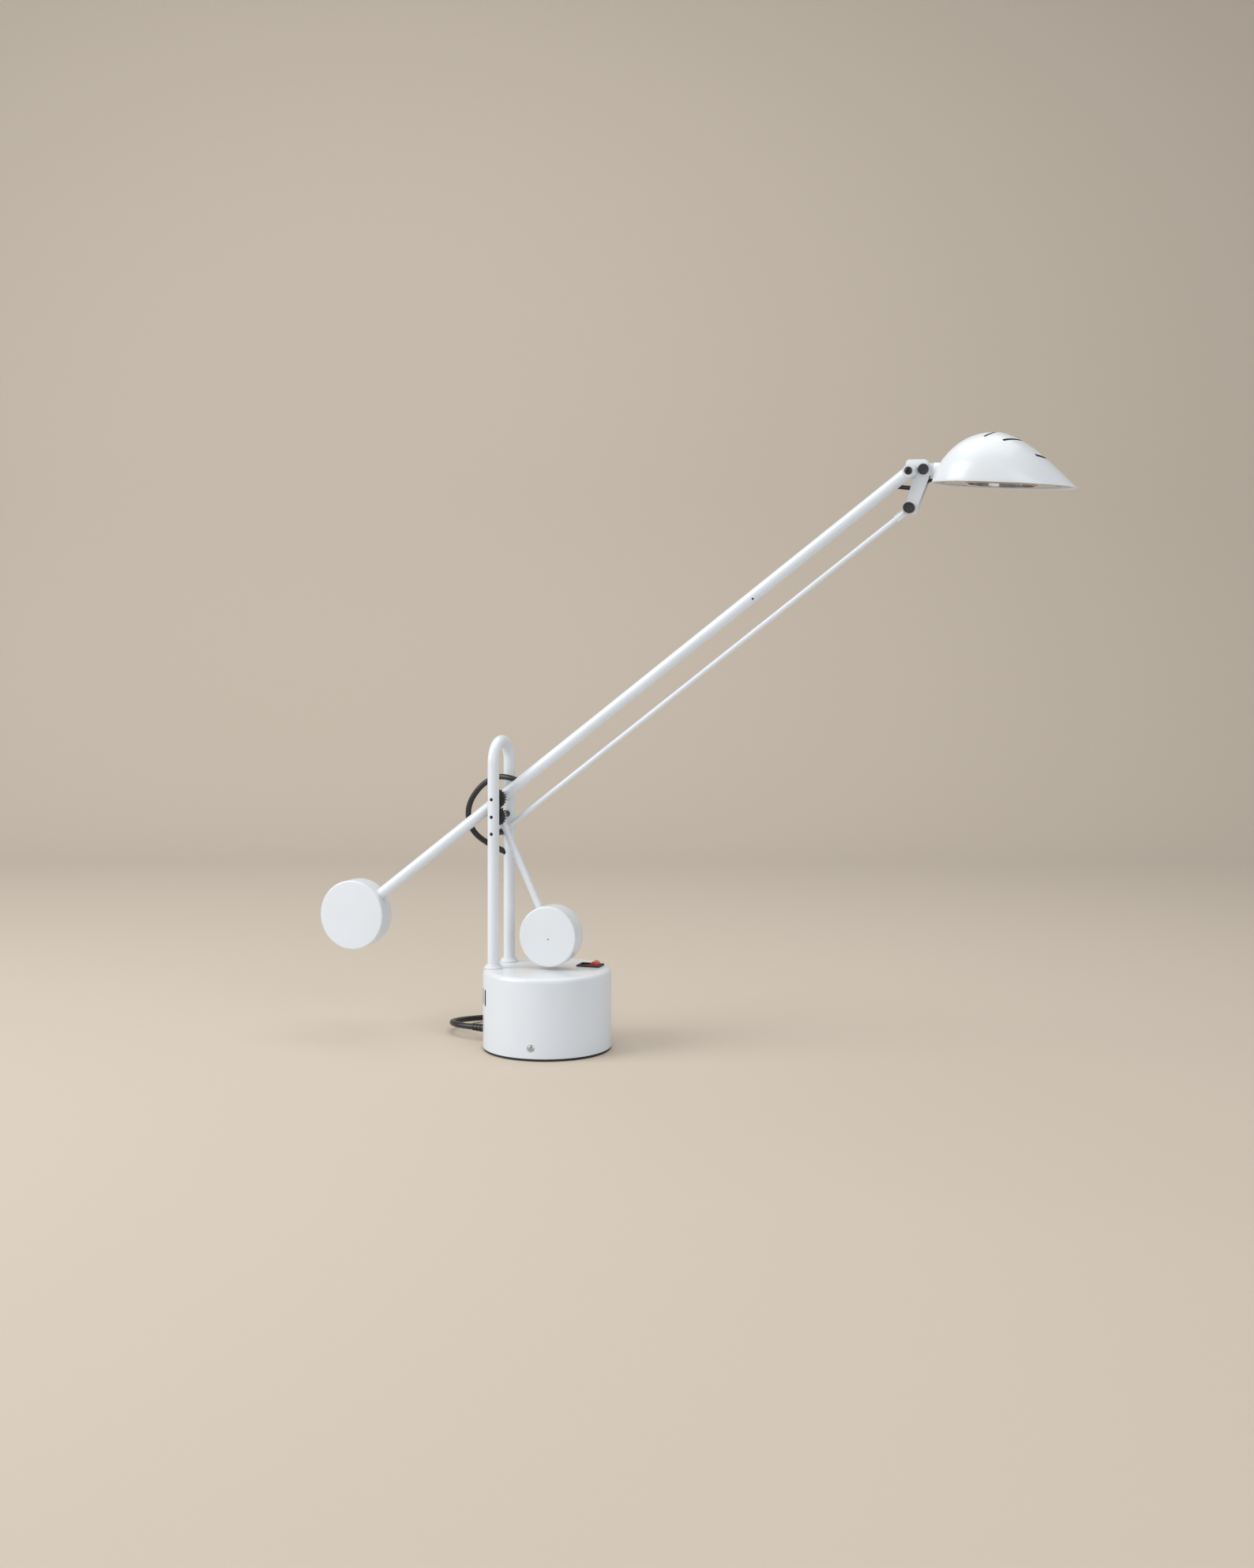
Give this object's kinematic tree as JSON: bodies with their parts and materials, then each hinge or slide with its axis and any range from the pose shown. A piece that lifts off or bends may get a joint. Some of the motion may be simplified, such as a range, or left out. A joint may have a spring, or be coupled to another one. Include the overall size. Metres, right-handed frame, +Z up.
{
  "type": "counterweight balance desk lamp",
  "caption": "Desk lamp: round base with a hoop post, long arm and parallel rod balanced by two steel discs on geared levers, and an egg-shaped halogen head on a hinge.",
  "frame": {"origin": "centre of the foot's underside, on the table", "axes": "+X from the hoop towards the head, +Y along the arm's axles, +Z up; the arm swings in the XZ plane"},
  "size_m": [0.6563, 0.25, 0.5154],
  "materials": {
    "enamel_white": "smooth white enamel, slight gloss",
    "steel": "bright zinc plate",
    "black_plastic": "moulded black, fine grain",
    "black_steel": "black oxide",
    "black_rubber": "satin black cable sheath",
    "red_plastic": "translucent red, glossy",
    "core_iron": "varnished laminations",
    "copper_winding": "enamelled copper wire",
    "brass": "nickel over brass",
    "polished": "polished",
    "ceramic": "unglazed ceramic",
    "clear_glass": "clear"
  },
  "bodies": {
    "stand": {"base_shell": "enamel_white", "base_plate": "steel", "foot_pad": "black_rubber", "base_screws": "steel", "transformer_core": "core_iron", "transformer_winding": "copper_winding", "terminal_block": "black_plastic", "switch_housing": "black_plastic", "hoop": "enamel_white", "hoop_collars": "enamel_white", "hoop_nuts": "steel", "axle_upper": "black_steel", "axle_middle": "black_steel", "axle_lower": "black_steel", "axle_spacers": "black_plastic", "cord_gland": "enamel_white", "lead_sleeve": "black_rubber", "mains_lead": "black_rubber", "mains_coil": "black_rubber", "cord_tie": "black_plastic", "plug_sleeve": "black_rubber", "plug_body": "black_plastic", "plug_pins": "brass", "arm_lead": "black_rubber"},
    "rocker": {"switch_rocker": "red_plastic"},
    "arm": {"arm_tube": "enamel_white", "arm_bush": "black_plastic", "arm_gear": "black_plastic", "arm_weight": "enamel_white", "arm_weight_screw": "steel", "arm_end_bush": "black_plastic", "arm_inner_lead": "black_rubber", "arm_end_lead": "black_rubber"},
    "lever": {"lever_hub": "enamel_white", "lever_gear": "black_plastic", "lever_rod": "enamel_white", "lever_weight": "enamel_white", "lever_weight_screw": "steel"},
    "link": {"link_rod": "enamel_white"},
    "bracket": {"bracket_channel": "enamel_white", "arm_pivot_screw": "black_steel", "link_pivot_knob": "black_plastic", "link_spacer": "black_plastic", "hinge_nut": "steel", "head_hinge_knob": "black_plastic", "head_lead": "black_rubber"},
    "head": {"head_neck": "enamel_white", "head_shell": "enamel_white", "trim_plate": "polished", "trim_screws": "black_plastic", "reflector": "polished", "lamp_holder": "ceramic", "halogen_capsule": "clear_glass", "cover_glass": "clear_glass"}
  },
  "joints": [
    {"name": "arm_tilt", "type": "hinge", "parent": "stand", "child": "arm", "pos_m": [-0.0425, 0, 0.213], "axis": [0, 1, 0], "range_deg": [0, 38], "deforming": ["arm_lead", "arm_end_lead"]},
    {"name": "lever_tilt", "type": "hinge", "parent": "stand", "child": "lever", "pos_m": [-0.0425, 0, 0.198], "axis": [0, 1, 0], "range_deg": [-38, 0]},
    {"name": "link_tilt", "type": "hinge", "parent": "stand", "child": "link", "pos_m": [-0.0425, 0, 0.1835], "axis": [0, 1, 0], "range_deg": [0, 38]},
    {"name": "bracket_level", "type": "hinge", "parent": "arm", "child": "bracket", "pos_m": [0.31253, 0, 0.48542], "axis": [0, 1, 0], "range_deg": [-38, 0]},
    {"name": "head_tilt", "type": "hinge", "parent": "bracket", "child": "head", "pos_m": [0.32253, 0.0112, 0.48732], "axis": [0, 1, 0], "range_deg": [-45, 18], "deforming": ["head_lead"]},
    {"name": "switch_rock", "type": "hinge", "parent": "stand", "child": "rocker", "pos_m": [0.032, 0.02, 0.0676], "axis": [0, 1, 0], "range_deg": [0, 22]}
  ],
  "couplings": [
    {"joint": "lever_tilt", "follows": "arm_tilt", "ratio": -1},
    {"joint": "link_tilt", "follows": "arm_tilt", "ratio": 1},
    {"joint": "bracket_level", "follows": "arm_tilt", "ratio": -1}
  ]
}
